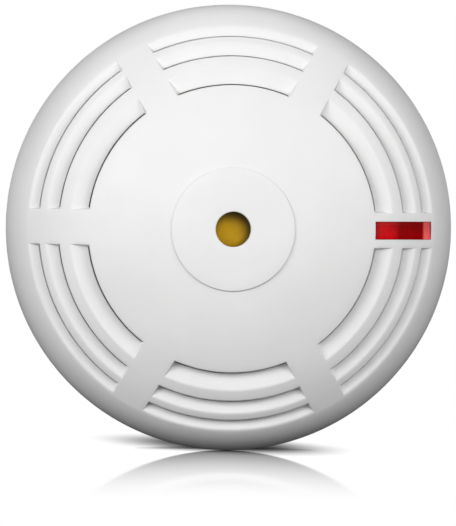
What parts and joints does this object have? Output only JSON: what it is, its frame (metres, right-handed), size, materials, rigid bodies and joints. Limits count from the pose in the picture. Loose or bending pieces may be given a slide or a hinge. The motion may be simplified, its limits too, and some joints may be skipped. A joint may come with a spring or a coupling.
{
  "type": "heat detector",
  "caption": "Round ceiling heat detector with a louvred dome, a sounder port, an indicator window and a twist-on mounting base.",
  "frame": {"origin": "centre of the base's mounting face, on the detector's axis", "axes": "+Y into the wall or ceiling, so the dome faces -Y; +X towards the indicator window; +Z across the face, up on a wall"},
  "size_m": [0.108, 0.0609, 0.108],
  "materials": {
    "white_plastic": "satin injection-moulded",
    "red_lens": "polished, translucent",
    "clear_plastic": "clear resin",
    "green_board": "solder resist over glass laminate",
    "blue_board": "solder resist over glass laminate",
    "steel": "plated",
    "brass": "rolled sheet",
    "ceramic": "silvered ceramic layer",
    "grey_plastic": "moulded",
    "natural_plastic": "moulded",
    "wire_sleeve": "flexible insulation",
    "dark_resin": "moulded epoxy",
    "copper_wire": "enamelled",
    "ferrite": "sintered",
    "battery_sleeve": "shrunk film over a steel can",
    "blue_plastic": "moulded",
    "white_trim": "moulded"
  },
  "bodies": {
    "base": {"mounting_base": "white_plastic"},
    "head": {"front_cover": "white_plastic", "rear_housing": "white_plastic", "light_pipe": "red_lens", "indicator_led": "clear_plastic", "circuit_board": "green_board", "board_screws": "steel", "cover_screws": "steel", "sounder_diaphragm": "brass", "piezo_ceramic": "ceramic", "sounder_clamp_ring": "grey_plastic", "sounder_wires": "wire_sleeve", "wire_header": "natural_plastic", "thermistor_beads": "dark_resin", "thermistor_leads": "steel", "thermistor_posts": "natural_plastic", "microcontroller": "dark_resin", "crystal": "steel", "radio_board": "blue_board", "radio_shield": "steel", "antenna": "copper_wire", "capacitors": "dark_resin", "inductor": "ferrite", "chip_resistors": "dark_resin", "battery_cell": "battery_sleeve", "battery_spring": "steel", "battery_contacts": "steel", "tamper_switch": "dark_resin", "setting_switch_block": "blue_plastic"},
    "plunger": {"tamper_plunger": "grey_plastic"},
    "slider_1": {"setting_slider_1": "white_trim"},
    "slider_2": {"setting_slider_2": "white_trim"},
    "slider_3": {"setting_slider_3": "white_trim"}
  },
  "joints": [
    {"name": "head_twist", "type": "hinge", "parent": "base", "child": "head", "pos_m": [0, 0, 0], "axis": [0, -1, 0], "range_deg": [0, 15]},
    {"name": "plunger_slide", "type": "slide", "parent": "head", "child": "plunger", "axis": [0, 1, 0], "range_m": [0, 0.0015]},
    {"name": "setting_1", "type": "slide", "parent": "head", "child": "slider_1", "axis": [0, 0, 1], "range_m": [0, 0.0012]},
    {"name": "setting_2", "type": "slide", "parent": "head", "child": "slider_2", "axis": [0, 0, 1], "range_m": [0, 0.0012]},
    {"name": "setting_3", "type": "slide", "parent": "head", "child": "slider_3", "axis": [0, 0, 1], "range_m": [0, 0.0012]}
  ],
  "couplings": [
    {"joint": "plunger_slide", "follows": "head_twist", "m_per_rad": 0.00572}
  ]
}
